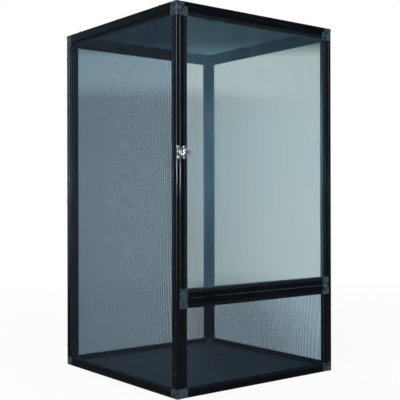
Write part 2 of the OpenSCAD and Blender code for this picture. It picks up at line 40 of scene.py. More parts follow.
import bpy
import numpy as np
from bpy.props import FloatProperty, FloatVectorProperty, IntProperty, PointerProperty
from bpy.types import Operator, Panel, PropertyGroup
from mathutils import Euler, Vector

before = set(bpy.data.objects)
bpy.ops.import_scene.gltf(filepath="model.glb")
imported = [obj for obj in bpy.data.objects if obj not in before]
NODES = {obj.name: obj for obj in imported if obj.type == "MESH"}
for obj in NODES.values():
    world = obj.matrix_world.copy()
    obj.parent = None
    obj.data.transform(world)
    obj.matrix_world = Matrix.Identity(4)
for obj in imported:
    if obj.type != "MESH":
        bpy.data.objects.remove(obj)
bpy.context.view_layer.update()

SCREENS = ("left_screen", "right_screen", "back_screen", "lower_screen", "lid_screen")
BAR_ENDS = ("_stile", "_rail")
LEDGES = ("side_floor_ledges", "end_floor_ledges", "door_stop")
CATCH = ("keeper_plate", "keeper_screws", "latch_base", "latch_screws", "latch_pin",
         "latch_lever", "latch_bail")
SCREWS = ("left_panel_screws", "right_panel_screws", "lid_screws")
PINS = ("hinge_pin_top", "hinge_pin_bottom")

AXES = (0, 1, 2)
X, Y, Z = AXES

# the weave
CORNERS = 4                 # corners of a wire's square skin
FEWEST_WIRES = 2            # in each direction of a cloth
FEWEST_RINGS = 3            # along a wire
LAP = 0.12                  # how far warp and weft lie from the cloth's middle, in wires
CALM = 0.02                 # the weave wanders fully this far from a bar, in metres
TURN = 0.7                  # where the first cloth's sway starts, in radians
TURN_STEP = 1.9             # how much further on each next cloth's sway starts
SWAYS = (
    # share of the sway, radians per metre along and beside the wire, turns to start at
    (0.6, 9.1, 2.3, 1.0),
    (0.4, 4.7, -11.3, 3.0),
)

# the finishes
NONE_TO_ALL = (0.0, 1.0)
NOISE = (0.3, 0.7)          # nearly all values of a noise lie between these
WORN_AND_LIT = (0.98, 0.80)         # cosines of the lean at which an edge starts to wear and take a painted highlight, and is fully worn and lit
DRAWN = 0.012               # fineness of the draw lines along a bar, against across it
ROUND = (0.02, 0.12)        # (x times y) squared of a normal, from flat to round of a corner
UPWARD = (0.6, 0.95)        # z of a normal, from where dust begins to lie to where it lies full
STREAKS = (7.0, 7.0, 1.6)   # fineness of the pane's streaks along x, y and z
UNEVEN = (0.7, 1.3)         # times the haze between its streaks, and in them
OPEN = (0.35, 0.72)         # open share of the surroundings, from a crevice, which gets the full painted shade, to an open face, which gets none

# the stage
FLOOR_START = 0.02          # first of the floor's even steps, whose squares space its rings
SENSOR = 36.0               # width of the camera's sensor in millimetres
PLAIN_WHITE = (1.0, 1.0, 1.0)
STRAIGHT_UP = (0.0, 0.0, 1.0)

# the lamps: name, place, width, height and power in watts; the flash lights glosses alone
LAMPS = (
    ("key_lamp", (-2.4, -1.3, 2.3), 1.6, 1.6, 50.0),
    ("fill_lamp", (-0.9, -3.0, 1.9), 1.6, 1.6, 20.0),
    ("back_lamp", (0.6, 2.4, 2.4), 2.0, 2.0, 24.0),
    ("strip_lamp", (-2.6, -2.0, 0.7), 0.3, 2.2, 26.0),
)
FLASH = ("flash_lamp", (-1.176, -1.508, 0.51), 0.06, 0.04, 20.0)
LAMP_AIM = Vector((0.0, 0.0, 0.4))


# ---------------------------------------------------------------- settings

def colour(label, words, default):
    """A colour."""
    return FloatVectorProperty(name=label, description=words, default=default, size=3,
                               min=0.0, max=1.0, subtype="COLOR")


def length(label, words, default):
    """A size in metres."""
    return FloatProperty(name=label, description=words, default=default, min=0.0,
                         unit="LENGTH", precision=5)


def share(label, words, default):
    """A number from 0 to 1."""
    return FloatProperty(name=label, description=words, default=default, min=0.0, max=1.0,
                         subtype="FACTOR")


def ends(label, words, default):
    """The two places or values between which something changes evenly."""
    return FloatVectorProperty(name=label, description=words, default=default, size=2,
                               precision=3)


class ClothSettings(PropertyGroup):
    """Sizes and colour of the woven screen cloth."""
    wire: length("Wire", "Distance across the corners of one wire", 0.00070)
    close: length("Close pitch", "Wire to wire, 18 to the inch", 0.00141)
    wide: length("Wide pitch", "Wire to wire, 16 to the inch", 0.00159)
    notch: length("Notch", "How far the corner keys cut into the cloth", 0.0054)
    sway: length("Sway", "How far the weave wanders from straight", 0.0020)
    step: length("Step", "Distance between two rings of a wire", 0.030)
    tint: colour("Wire colour", "Colour of the coated wire", (0.055, 0.070, 0.092))
    see: colour("Wire tint", "What the thin coated wire lets through", (0.762, 0.850, 0.892))
    solid: share("Wire body", "Share of the wire's skin that is solid", 0.12)


class BarSettings(PropertyGroup):
    """Finish of the framing bars."""
    tint: colour("Bar colour", "Black coat of the bars", (0.0016, 0.0022, 0.0032))
    rough: share("Roughness", "Roughness of the coat", 0.20)
    clear: share("Clear", "Roughness that the coat has less where it is clear", 0.04)
    misty: share("Misty", "Roughness that the coat has more where it is misty", 0.05)
    lined: share("Lined", "Roughness that the draw lines add and take", 0.03)
    dust: share("Dust", "Roughness that dust adds on level faces", 0.40)
    shine: share("Shine", "Specular level of the coat", 0.28)
    level: share("Level bars", "Share of the shine that the level bars have", 0.5)
    gleam: colour("Gleam", "Tint of the coat's reflections", (0.72, 0.87, 1.0))
    arris: length("Arris", "Radius of the bars' rounded edges, as light falls on them", 0.0018)
    polish: share("Polish", "Roughness that rubbing takes off the edges", 0.10)
    # Partly wear and partly a painted highlight: the pale metal colour and where it lies on the
    # upright edges, stronger higher up and towards the back.
    rubbed_and_lit: colour("Rubbed colour", "Bare metal on the edges that hands rub", (0.50, 0.56, 0.62))
    heights: ends("Rubbed heights", "Heights over which rubbing sets in", (0.15, 0.70))
    depths: ends("Rubbed depths", "Places in y over which rubbing grows", (-0.10, 0.15))
    shares: ends("Rubbed shares", "How bare the edges are at those places", (0.10, 0.60))


class KeySettings(PropertyGroup):
    """Finish of the corner keys."""
    tint: colour("Key colour", "Grey-green plastic of the keys", (0.006, 0.014, 0.022))
    pale: colour("Pale patches", "Where the plastic has whitened", (0.036, 0.063, 0.084))
    # Partly wear and partly a painted highlight: the pale colour of the keys' sharp edges stands
    # in for their glints.
    worn: colour("Worn edge", "Colour where the edges are rubbed", (0.13, 0.21, 0.25))
    edge: length("Edge", "Radius of the keys' rounded edges, as light falls on them", 0.0006)


class CordSettings(PropertyGroup):
    """Finish of the spline cords and the gasket."""
    tint: colour("Rubber colour", "Matt black rubber", (0.004, 0.005, 0.007))
    dusty: colour("Dusty rubber", "Where dust lies on the rubber", (0.012, 0.014, 0.018))


class PaneSettings(PropertyGroup):
    """Finish of the clear pane."""
    tint: colour("Pane tint", "Colour that the clear sheet lets through", (0.967, 0.965, 0.908))
    haze: share("Haze", "Share of the surface that is dulled", 0.10)
    cool: colour("Haze colour", "Cool light that the haze throws back", (0.32, 0.70, 1.0))
    foot: ends("Foot", "Heights over which the haze becomes full", (0.25, 0.48))
    foot_haze: share("Foot haze", "Share of the haze that the pane's foot has", 0.65)
    head: ends("Head", "Heights over which the haze thins again", (0.55, 0.77))
    head_haze: share("Head haze", "Share of the haze that the pane's head has", 0.25)


class BoardSettings(PropertyGroup):
    """Finish of the floor board."""
    tint: colour("Board colour", "Dark body of the board", (0.003, 0.0032, 0.0045))
    fleck: colour("Fleck colour", "Pale specks in the board", (0.12, 0.125, 0.145))


class CatchSettings(PropertyGroup):
    """Finish of the toggle catch."""
    smeared: colour("Smeared nickel", "Nickel where it is smeared", (0.78, 0.80, 0.80))
    clean: colour("Clean nickel", "Nickel where it is clean", (0.92, 0.93, 0.92))
    # painted shade: this dark colour goes into the catch's crevices and stands in for the shade
    # between its parts; the crevice distance sets how far that painted shade reaches.
    crevice_shade: colour("Grime", "Dirt in the crevices", (0.02, 0.024, 0.03))
    crevice: length("Crevice", "Distance between walls that gathers dirt", 0.005)
    edge: length("Edge", "Radius of the softened edges, as light falls on them", 0.0004)


class FastenerSettings(PropertyGroup):
    """Finishes of the screws, pins and washer."""
    black: colour("Screw colour", "Black finish of the screws", (0.012, 0.013, 0.016))
    black_worn: colour("Worn screw", "Where that black has worn", (0.06, 0.06, 0.065))
    steel: colour("Pin colour", "Darker lines of the turned steel", (0.42, 0.42, 0.42))
    steel_light: colour("Light pin", "Lighter lines of the turned steel", (0.62, 0.62, 0.61))
    nylon: colour("Washer colour", "Darker parts of the milky nylon", (0.66, 0.64, 0.58))
    nylon_light: colour("Light washer", "Lighter parts of the nylon", (0.74, 0.73, 0.68))


class StageSettings(PropertyGroup):
    """Camera, room light and floor."""
    place: FloatVectorProperty(name="Camera place", description="Where the camera stands",
                               default=(-1.17387, -1.50605, 0.39783), size=3,
                               subtype="TRANSLATION")
    heading: FloatProperty(name="Heading", description="Turn of the view from +Y towards +X",
                           default=math.radians(38.1045), subtype="ANGLE")
    pitch: FloatProperty(name="Pitch", description="Tilt of the view above the horizon",
                         default=math.radians(0.0531), subtype="ANGLE")
    roll: FloatProperty(name="Roll", description="Turn of the picture about its middle",
                        default=math.radians(0.1096), subtype="ANGLE")
    lens: FloatProperty(name="Lens", description="Focal length on a 36 mm sensor",
                        default=72.0, min=10.0)
    sky: FloatProperty(name="Sky", description="Strength of the room's even light",
                       default=0.55, min=0.0)
    air: colour("Air", "Colour of the room's even light", (0.96, 0.98, 1.0))
    floor_size: length("Floor", "Half width of the floor", 2.5)
    floor_rings: IntProperty(name="Rings", description="Rings of the floor sheet", default=24,
                             min=4)
    floor_spokes: IntProperty(name="Spokes", description="Spokes of the floor sheet",
                              default=48, min=8)
    floor_tint: colour("Floor colour", "Pale paint of the floor", (0.82, 0.82, 0.82))


class PaperSettings(PropertyGroup):
    """Grey paper that the screens show, in metres on the floor and as parts of a way behind."""
    shade: share("Shade", "Paper on its darker side", 0.48)
    light: share("Light", "Paper on its lighter side", 0.95)
    rise: ends("Rise", "Parts rightwards over which the backdrop lightens", (-0.004, 0.14))
    swell: share("Swell", "Power of that rise, which is quick at first", 0.6)
    band_at: ends("Band at", "Parts upwards over which a level band begins", (0.125, 0.145))
    band: share("Band", "Brightness that the band adds", 0.31)
    ceiling_at: ends("Ceiling at", "Parts upwards over which the ceiling begins", (0.175, 0.195))
    ceiling: share("Ceiling", "Share of the brightness that the ceiling has", 0.12)
    white_at: ends("White at", "Distances over which the seen floor turns white", (0.9, 2.3))
    white: share("White", "Share of plain white that the floor shows by the cage", 0.90)
    near_at: ends("Near at", "Places rightwards over which the near floor lightens", (0.20, 0.40))
    near: share("Near", "Share of the shade that the near floor's dark side has", 0.85)
    dip_at: ends("Dip at", "Places rightwards over which the shadow deepens", (-0.09, 0.012))
    dip: share("Dip", "Share of the near floor's brightness in the cage's shadow", 0.33)
    dip_end: ends("Dip end", "Places rightwards over which the shadow ends", (0.02, 0.055))
    far_at: ends("Far at", "Places rightwards over which the far floor lightens", (-0.04, 0.62))
    far_from: ends("Far from", "Distances over which near turns into far", (1.2, 2.3))


class GlossSettings(PropertyGroup):
    """Room that the glosses show, in metres on the floor and as parts of a way behind."""
    cast: colour("Cast", "Colour of the room in a gloss", (0.62, 0.84, 1.0))
    dim: share("Dim side", "Brightness of the room behind the camera", 0.10)
    bright_at: ends("Bright at", "Parts ahead over which the room brightens", (0.28, 0.66))
    floor_at: ends("Floor at", "Distances ahead over which the floor brightens", (0.6, 1.6))
    slant_at: ends("Slant at", "Parts ahead over which a first grey begins", (0.29, 0.39))
    slant: share("Slant", "Brightness of that grey above the horizon", 0.55)
    low_at: ends("Low at", "Parts upwards over which that grey becomes full", (-0.12, 0.03))
    low: share("Low", "Share of that grey below the horizon", 0.35)
    lift_at: ends("Lift at", "Parts upwards over which a little light is added", (-0.12, 0.0))
    lift: share("Lift", "Brightness of that light", 0.05)
    veil: share("Veil", "Share of the brightness that is left behind a screen", 0.35)


# ---------------------------------------------------------------- shader helpers

def coat(name):
    """A new node material: its tree, its Principled shader and its output."""
    material = bpy.data.materials.new(name)
    material.use_nodes = True
    tree = material.node_tree
    return material, tree, tree.nodes["Principled BSDF"], tree.nodes["Material Output"]


def plug(tree, socket, value):
    """Links a socket to another one, or sets it to a number, a vector or a colour."""
    if isinstance(value, bpy.types.NodeSocket):
        tree.links.new(value, socket)
    elif socket.type == "RGBA":
        socket.default_value = (*value, 1.0)
    else:
        socket.default_value = value


def own_space(tree, scale=(1.0, 1.0, 1.0)):
    """Object coordinates, stretched by scale, as a vector socket."""
    here = tree.nodes.new("ShaderNodeTexCoord")
    stretch = tree.nodes.new("ShaderNodeMapping")
    stretch.inputs["Scale"].default_value = scale
    tree.links.new(here.outputs["Object"], stretch.inputs["Vector"])
    return stretch.outputs["Vector"]


def parts_of(tree, vector):
    """The X, Y and Z of a vector socket."""
    split = tree.nodes.new("ShaderNodeSeparateXYZ")
    tree.links.new(vector, split.inputs[0])
    return split.outputs


def grain(tree, vector, scale, detail, rough=0.5):
    """Noise at a number of cells per metre, as a factor socket."""
    noise = tree.nodes.new("ShaderNodeTexNoise")
    noise.inputs["Scale"].default_value = scale
    noise.inputs["Detail"].default_value = detail
    noise.inputs["Roughness"].default_value = rough
    tree.links.new(vector, noise.inputs["Vector"])
    return noise.outputs["Fac"]


def ramp(tree, factor, limits, colours):
    """Maps a factor between two limits to two colours."""
    band = tree.nodes.new("ShaderNodeValToRGB")
    for stop, limit, tint in zip(band.color_ramp.elements, limits, colours):
        stop.position = limit
        stop.color = (*tint, 1.0)
    tree.links.new(factor, band.inputs["Fac"])
    return band.outputs["Color"]


def spread(tree, factor, limits, values=NONE_TO_ALL):
    """Maps a factor between two limits to two numbers, and holds them past the limits."""
    fit = tree.nodes.new("ShaderNodeMapRange")
    for slot, value in zip(("From Min", "From Max", "To Min", "To Max"), (*limits, *values)):
        fit.inputs[slot].default_value = value
    tree.links.new(factor, fit.inputs["Value"])
    return fit.outputs["Result"]


def mixed(tree, kind, factor, first, last):
    """Mixes two values or sockets of a kind, RGBA or FLOAT, by a factor socket."""
    mix = tree.nodes.new("ShaderNodeMix")
    mix.data_type = kind
    tree.links.new(factor, mix.inputs["Factor"])
    plug(tree, mix.inputs["A"], first)
    plug(tree, mix.inputs["B"], last)
    return mix.outputs["Result"]


def blend(tree, factor, first, last):
    """Mixes two colours or colour sockets by a factor socket."""
    return mixed(tree, "RGBA", factor, first, last)


def between(tree, factor, first, last):
    """Mixes two numbers or number sockets by a factor socket."""
    return mixed(tree, "FLOAT", factor, first, last)


def layered(tree, factor, first, last):
    """Mixes two shader sockets by a share or a factor socket."""
    mix = tree.nodes.new("ShaderNodeMixShader")
    plug(tree, mix.inputs["Fac"], factor)
    tree.links.new(first, mix.inputs[1])
    tree.links.new(last, mix.inputs[2])
    return mix.outputs[0]


def reckon(tree, kind, first, last):
    """Joins two numbers or number sockets by one kind of the Math node."""
    maths = tree.nodes.new("ShaderNodeMath")
    maths.operation = kind
    plug(tree, maths.inputs[0], first)
    plug(tree, maths.inputs[1], last)
    return maths.outputs[0]


def added(tree, first, last):
    """The sum of two numbers or number sockets."""
    return reckon(tree, "ADD", first, last)


def times(tree, first, last):
    """The product of two numbers or number sockets."""
    return reckon(tree, "MULTIPLY", first, last)


def reach(tree, vector, way):
    """How far a vector socket reaches along a way, which is a vector or its socket."""
    facing = tree.nodes.new("ShaderNodeVectorMath")
    facing.operation = "DOT_PRODUCT"
    plug(tree, facing.inputs[0], vector)
    plug(tree, facing.inputs[1], way)
    return facing.outputs["Value"]


def rounded(tree, radius, samples=4):
    """The surface's normal with its sharp edges rounded to a radius, as a socket."""
    bevel = tree.nodes.new("ShaderNodeBevel")
    bevel.samples = samples
    bevel.inputs["Radius"].default_value = radius
    return bevel.outputs["Normal"]


def edge_wear_and_highlight(tree, normal):
    """A factor that is 1 on sharp edges, where a rounded normal leans from the true one."""
    face = tree.nodes.new("ShaderNodeNewGeometry")
    return spread(tree, reach(tree, normal, face.outputs["True Normal"]), WORN_AND_LIT)


def stain(tree, shader, tint):
    """Gives the shader a colour socket."""
    tree.links.new(tint, shader.inputs["Base Color"])


def dull(tree, shader, noise, values):
    """Lets the shader's roughness wander between two values with a noise."""
    tree.links.new(spread(tree, noise, NOISE, values), shader.inputs["Roughness"])


def relief(tree, shader, height, depth, strength, base=None):
    """Turns a height socket into the shader's normal, over a base normal; depth is in metres."""
    bump = tree.nodes.new("ShaderNodeBump")
    bump.inputs["Distance"].default_value = depth
    bump.inputs["Strength"].default_value = strength
    tree.links.new(height, bump.inputs["Height"])
    tree.links.new(bump.outputs["Normal"], shader.inputs["Normal"])
    if base is not None:
        tree.links.new(base, bump.inputs["Normal"])


def paler(tint, factor):
    """A colour that is lighter by a factor."""
    return tuple(factor * part for part in tint)


def dress(material, *names):
    """Gives CAD nodes a finish."""
    for name in names:
        slots = NODES[name].data.materials
        slots.clear()
        slots.append(material)


def parts_like(*endings):
    """CAD nodes whose names end in one of these."""
    return [name for name in NODES if name.endswith(endings)]


# ---------------------------------------------------------------- mesh helpers

def surface(name, points, quads):
    """A mesh object from arrays of points and of four-cornered faces."""
    mesh = bpy.data.meshes.new(name)
    mesh.vertices.add(len(points))
    mesh.vertices.foreach_set("co", np.ascontiguousarray(points, np.float32).ravel())
    mesh.loops.add(quads.size)
    mesh.loops.foreach_set("vertex_index", np.ascontiguousarray(quads, np.int32).ravel())
    mesh.polygons.add(len(quads))
    starts = np.arange(0, quads.size, quads.shape[1], dtype=np.int32)
    mesh.polygons.foreach_set("loop_start", starts)
    mesh.update(calc_edges=True)
    mesh.validate()
    piece = bpy.data.objects.new(name, mesh)
    bpy.context.scene.collection.objects.link(piece)
    return piece


def wires(along, across, radius, height):
    """Square-skinned wires side by side, as points and quads.

    along is an array of wires by rings that gives how far each ring lies along
    its wire, and across gives its place beside it. Ring j of wire i has its four
    corners at radius times (cos a, sin a) from (across, height), with a at 45,
    135, 225 and 315 degrees, so neighbours share flat sides.
    """
    count, rings = along.shape
    turn = 2 * np.pi * (np.arange(CORNERS) + 0.5) / CORNERS
    s = np.repeat(along[:, :, None], CORNERS, axis=2)
    t = across[:, :, None] + radius * np.cos(turn)
    n = np.broadcast_to(height + radius * np.sin(turn), s.shape)
    points = np.stack([s, t, n], axis=-1).reshape(-1, 3)
    wire, ring, side = np.meshgrid(np.arange(count), np.arange(rings - 1),
                                   np.arange(CORNERS), indexing="ij")
    base = (wire * rings + ring) * CORNERS
    following = base + CORNERS
    beside = (side + 1) % CORNERS
    skin = np.stack([base + side, base + beside, following + beside, following + side],
                    axis=-1)
    first = np.arange(count) * rings * CORNERS
    last = first + (rings - 1) * CORNERS
    caps = np.concatenate([first[:, None] + [3, 2, 1, 0], last[:, None] + [0, 1, 2, 3]])
    return points, np.concatenate([skin.reshape(-1, CORNERS), caps])


def sway_of(s, t, size, turn):
    """How far the weave lies beside its straight place at (s, t), in metres.

    It is size times a sum of two slow sines, one along the wire and one that
    leans across it, so neighbouring wires wander together as stretched cloth does.
    turn starts both sines elsewhere for each cloth.
    """
    return size * sum(part * np.sin(along * s + beside * t + start * turn)
                      for part, along, beside, start in SWAYS)


def woven_set(low, high, pitch, settings, height, turn, flip):
    """One direction of a cloth's wires, in (s, t, n), between two corners.

    Wires run along s at an even pitch in t. Those beside a corner key are
    shorter by the notch at both ends. The weave is straight at the bars and
    sways fully from a little way inside them.
    """
    count = max(FEWEST_WIRES, round((high[1] - low[1]) / pitch))
    gap = (high[1] - low[1]) / count
    t = low[1] + (np.arange(count) + 0.5) * gap
    inside = np.minimum(t - low[1], high[1] - t)
    cut = np.where(inside < settings.notch, settings.notch, 0.0)
    start, end = low[0] + cut, high[0] - cut
    rings = max(FEWEST_RINGS, int((high[0] - low[0]) / settings.step))
    s = start[:, None] + (end - start)[:, None] * np.linspace(0, 1, rings)
    still = np.minimum(1.0, inside / CALM)[:, None]
    wander = sway_of(s, t[:, None], settings.sway, turn) * still
    points, quads = wires(s, t[:, None] + wander, settings.wire / 2, height)
    if flip:
        points = points[:, [1, 0, 2]]
        quads = quads[:, ::-1]
    return points, quads


# ---------------------------------------------------------------- operators

class CAGE_OT_screens(Operator):
    """Weave the five screens from single wires and lay them on the bars' lips"""
    bl_idname = "cage.screens"
    bl_label = "Screen cloth"

    def execute(self, context):
        settings = context.scene.cage_cloth
        material = self.finish(settings)
        for node in SCREENS:
            cloth = self.cloth(node, settings)
            cloth.data.materials.append(material)
            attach(cloth, "cage")
            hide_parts(node)
        return {"FINISHED"}

    def finish(self, settings):
        """Patchy coated wire, of which only a share is solid and the rest is a tinted film."""
        material, tree, shader, output = coat("screen_cloth_finish")
        patch = grain(tree, own_space(tree), scale=9.0, detail=3.0)
        dusty = paler(settings.tint, 1.25)
        stain(tree, shader, ramp(tree, patch, (0.35, 0.65), (settings.tint, dusty)))
        shader.inputs["Roughness"].default_value = 0.55
        shader.inputs["Specular IOR Level"].default_value = 0.25
        film = tree.nodes.new("ShaderNodeBsdfTransparent")
        film.inputs["Color"].default_value = (*settings.see, 1.0)
        skin = layered(tree, settings.solid, film.outputs[0], shader.outputs[0])
        tree.links.new(skin, output.inputs["Surface"])
        return material

    def cloth(self, node, settings):
        """The cloth of one panel: warp and weft wires in the box of its CAD net.

        The roll is closer woven one way. The side panels are cut with the close
        wires upright, the others with them level.
        """
        low, high = (np.array(corner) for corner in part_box(node))
        thin = int(np.argmin(high - low))
        s_axis, t_axis = [axis for axis in AXES if axis != thin]
        corners = [(c[s_axis], c[t_axis]) for c in (low, high)]
        swapped = [(b, a) for a, b in corners]
        middle = (low[thin] + high[thin]) / 2
        offset = LAP * settings.wire
        level, upright = settings.close, settings.wide
        if thin == X:
            level, upright = upright, level
        turn = TURN + TURN_STEP * SCREENS.index(node)
        weft, weft_quads = woven_set(*corners, level, settings, middle - offset, turn, False)
        warp, warp_quads = woven_set(*swapped, upright, settings, middle + offset, turn, True)
        local = np.concatenate([weft, warp])
        quads = np.concatenate([weft_quads, warp_quads + len(weft)])
        points = np.empty_like(local)
        points[:, s_axis], points[:, t_axis], points[:, thin] = local.T
        if thin == Y:
            quads = quads[:, ::-1]
        return surface(node.replace("_screen", "_cloth"), points, quads)


class CAGE_OT_bars(Operator):
    """Give the bars a black satin coat with fine draw lines, and pale metal on upright edges that
    is partly wear and partly a painted highlight
    """
    bl_idname = "cage.bars"
    bl_label = "Bars"

    def execute(self, context):
        settings = context.scene.cage_bar
        for name in parts_like(*BAR_ENDS) + list(LEDGES):
            low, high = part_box(name)
            size = [high[axis] - low[axis] for axis in AXES]
            dress(self.finish(size.index(max(size)), settings), name)
        return {"FINISHED"}

    def finish(self, along, settings):
        """Satin coat whose draw lines run along one axis.

        Level faces are duller with dust, and edges are smoother. On uprights the
        edges also get pale metal, partly wear and partly a painted highlight.
        """
        name = "bar_finish_" + "xyz"[along]
        if name in bpy.data.materials:
            return bpy.data.materials[name]
        material, tree, shader, _ = coat(name)
        upright = along == Z
        stretch = [1.0, 1.0, 1.0]
        stretch[along] = DRAWN
        lines = grain(tree, own_space(tree, stretch), scale=2600.0, detail=2.0, rough=0.6)
        cloud = grain(tree, own_space(tree), scale=14.0, detail=4.0)
        normal = rounded(tree, settings.arris)
        facing = parts_of(tree, tree.nodes.new("ShaderNodeNewGeometry").outputs["Normal"])
        edges = reckon(tree, "MAXIMUM", edge_wear_and_highlight(tree, normal), self.corner(tree, facing))

        body = ramp(tree, cloud, (0.35, 0.7), (settings.tint, paler(settings.tint, 1.7)))
        # painted highlight: upright edges get pale metal colour and metalness, partly wear and
        # partly standing in for the light their rounded corners catch
        if upright:
            bare_and_lit = self.rubbing_and_highlight(tree, edges, settings)
            body = blend(tree, bare_and_lit, body, tuple(settings.rubbed_and_lit))
            tree.links.new(bare_and_lit, shader.inputs["Metallic"])
        stain(tree, shader, body)

        least, most = settings.rough - settings.clear, settings.rough + settings.misty
        rough = added(tree, spread(tree, lines, NOISE, (-settings.lined, settings.lined)),
                      spread(tree, cloud, NOISE, (least, most)))
        polish = spread(tree, edges, NONE_TO_ALL, (0.0, settings.polish))
        dust = spread(tree, facing["Z"], UPWARD, (0.0, settings.dust))
        tree.links.new(added(tree, reckon(tree, "SUBTRACT", rough, polish), dust),
                       shader.inputs["Roughness"])
        shine = settings.shine * (1.0 if upright else settings.level)
        shader.inputs["Specular IOR Level"].default_value = shine
        shader.inputs["Specular Tint"].default_value = (*settings.gleam, 1.0)
        relief(tree, shader, lines, depth=0.00002, strength=0.2, base=normal)
        return material

    def corner(self, tree, facing):
        """1 on the round of an upright corner.

        It comes from the square of the normal's x times its y, which is 0 on faces
        that are square to x or y, and a quarter halfway round.
        """
        skew = times(tree, facing["X"], facing["Y"])
        return spread(tree, times(tree, skew, skew), ROUND)

    def rubbing_and_highlight(self, tree, edges, settings):
        """How much pale metal the edges get, partly wear and partly a painted highlight: more
        with height, and more towards the back.
        """
        place = parts_of(tree, own_space(tree))
        high = times(tree, edges, spread(tree, place["Z"], settings.heights))
        return times(tree, high, spread(tree, place["Y"], settings.depths, settings.shares))


class CAGE_OT_keys(Operator):
    """Give the corner keys a moulded grey plastic with pale edges, partly wear and partly a
    painted highlight
    """
    bl_idname = "cage.keys"
    bl_label = "Corner keys"

    def execute(self, context):
        settings = context.scene.cage_key
        material, tree, shader, _ = coat("corner_key_finish")
        where = own_space(tree)
        cloud = grain(tree, where, scale=110.0, detail=3.0)
        pebble = grain(tree, where, scale=2400.0, detail=2.0)
        normal = rounded(tree, settings.edge)
        body = ramp(tree, cloud, (0.38, 0.62), (settings.tint, settings.pale))
        # painted highlight: the sharp edges get the pale edge colour, partly wear and partly
        # standing in for glints
        stain(tree, shader, blend(tree, edge_wear_and_highlight(tree, normal), body, tuple(settings.worn)))
        dull(tree, shader, cloud, (0.26, 0.42))
        shader.inputs["Specular IOR Level"].default_value = 0.5
        relief(tree, shader, pebble, depth=0.00003, strength=0.5, base=normal)
        dress(material, *parts_like("_corner_keys"))
        return {"FINISHED"}


class CAGE_OT_cords(Operator):
    """Give the spline cords and the pane's gasket a matt black rubber"""
    bl_idname = "cage.cords"
    bl_label = "Spline cords"

    def execute(self, context):
        settings = context.scene.cage_cord
        material, tree, shader, _ = coat("spline_rubber")
        where = own_space(tree)
        dust = grain(tree, where, scale=120.0, detail=4.0)
        pores = grain(tree, where, scale=900.0, detail=2.0)
        stain(tree, shader, ramp(tree, dust, (0.4, 0.75), (settings.tint, settings.dusty)))
        dull(tree, shader, dust, (0.55, 0.75))
        shader.inputs["Specular IOR Level"].default_value = 0.15
        relief(tree, shader, pores, depth=0.00006, strength=0.6)
        dress(material, *parts_like("_spline", "_gasket"))
        return {"FINISHED"}


class CAGE_OT_pane(Operator):
    """Make the door's pane a clear sheet with a faint cool haze in light streaks"""
    bl_idname = "cage.pane"
    bl_label = "Pane"

    def execute(self, context):
        settings = context.scene.cage_pane
        material, tree, shader, output = coat("door_pane_finish")
        shader.inputs["Base Color"].default_value = (*settings.cool, 1.0)
        shader.inputs["Roughness"].default_value = 0.5
        hazy = layered(tree, self.haze(tree, settings), self.sheet(tree, settings),
                       shader.outputs[0])
        tree.links.new(hazy, output.inputs["Surface"])
        dress(material, "door_pane")
        return {"FINISHED"}

    def sheet(self, tree, settings):
        """A clear sheet that mirrors more where it is seen aslant."""
        clear = tree.nodes.new("ShaderNodeBsdfTransparent")
        clear.inputs["Color"].default_value = (*settings.tint, 1.0)
        gloss = tree.nodes.new("ShaderNodeBsdfGlossy")
        gloss.inputs["Roughness"].default_value = 0.02
        sheen = tree.nodes.new("ShaderNodeFresnel")
        sheen.inputs["IOR"].default_value = 1.25
        return layered(tree, sheen.outputs[0], clear.outputs[0], gloss.outputs[0])

    def haze(self, tree, settings):
        """Share of haze: upright streaks, thinner at the pane's foot and at its head."""
        streak = grain(tree, own_space(tree, STREAKS), scale=5.0, detail=5.0, rough=0.55)
        height = parts_of(tree, own_space(tree))["Z"]
        fade = times(tree, spread(tree, height, settings.head, (1.0, settings.head_haze)),
                     spread(tree, height, settings.foot, (settings.foot_haze, 1.0)))
        streaky = spread(tree, streak, (0.35, 0.75), [settings.haze * part for part in UNEVEN])
        return times(tree, streaky, fade)


class CAGE_OT_board(Operator):
    """Give the floor board a dark pebbled face with pale flecks"""
    bl_idname = "cage.board"
    bl_label = "Floor board"

    def execute(self, context):
        settings = context.scene.cage_board
        material, tree, shader, _ = coat("floor_board_finish")
        where = own_space(tree)
        speck = grain(tree, where, scale=210.0, detail=4.0, rough=0.8)
        cloud = grain(tree, where, scale=11.0, detail=3.0)
        flecked = ramp(tree, speck, (0.50, 0.64), (settings.tint, settings.fleck))
        bald = spread(tree, cloud, (0.35, 0.7), (0.0, 0.45))
        stain(tree, shader, blend(tree, bald, flecked, paler(settings.tint, 1.8)))
        dull(tree, shader, speck, (0.5, 0.7))
        shader.inputs["Specular IOR Level"].default_value = 0.25
        relief(tree, shader, speck, depth=0.0003, strength=0.7)
        dress(material, "floor_board")
        return {"FINISHED"}


class CAGE_OT_catch(Operator):
    """Give the toggle catch bright nickel with softened edges and painted shade in its crevices
    """
    bl_idname = "cage.catch"
    bl_label = "Toggle catch"

    def execute(self, context):
        settings = context.scene.cage_catch
        material, tree, shader, _ = coat("latch_nickel_finish")
        smear = grain(tree, own_space(tree), scale=500.0, detail=4.0)
        bright = ramp(tree, smear, (0.3, 0.75), (settings.smeared, settings.clean))
        # painted shade: ambient occlusion darkens the nickel in its crevices, standing in for the
        # shade that falls between its parts
        crevice = tree.nodes.new("ShaderNodeAmbientOcclusion")
        crevice.samples = 8
        crevice.inputs["Distance"].default_value = settings.crevice
        painted_shade = spread(tree, crevice.outputs["AO"], OPEN, (1.0, 0.0))
        stain(tree, shader, blend(tree, painted_shade, bright, tuple(settings.crevice_shade)))
        shader.inputs["Metallic"].default_value = 1.0
        dull(tree, shader, smear, (0.08, 0.20))
        relief(tree, shader, smear, depth=0.00004, strength=0.4,
               base=rounded(tree, settings.edge, samples=6))
        dress(material, *CATCH)
        return {"FINISHED"}


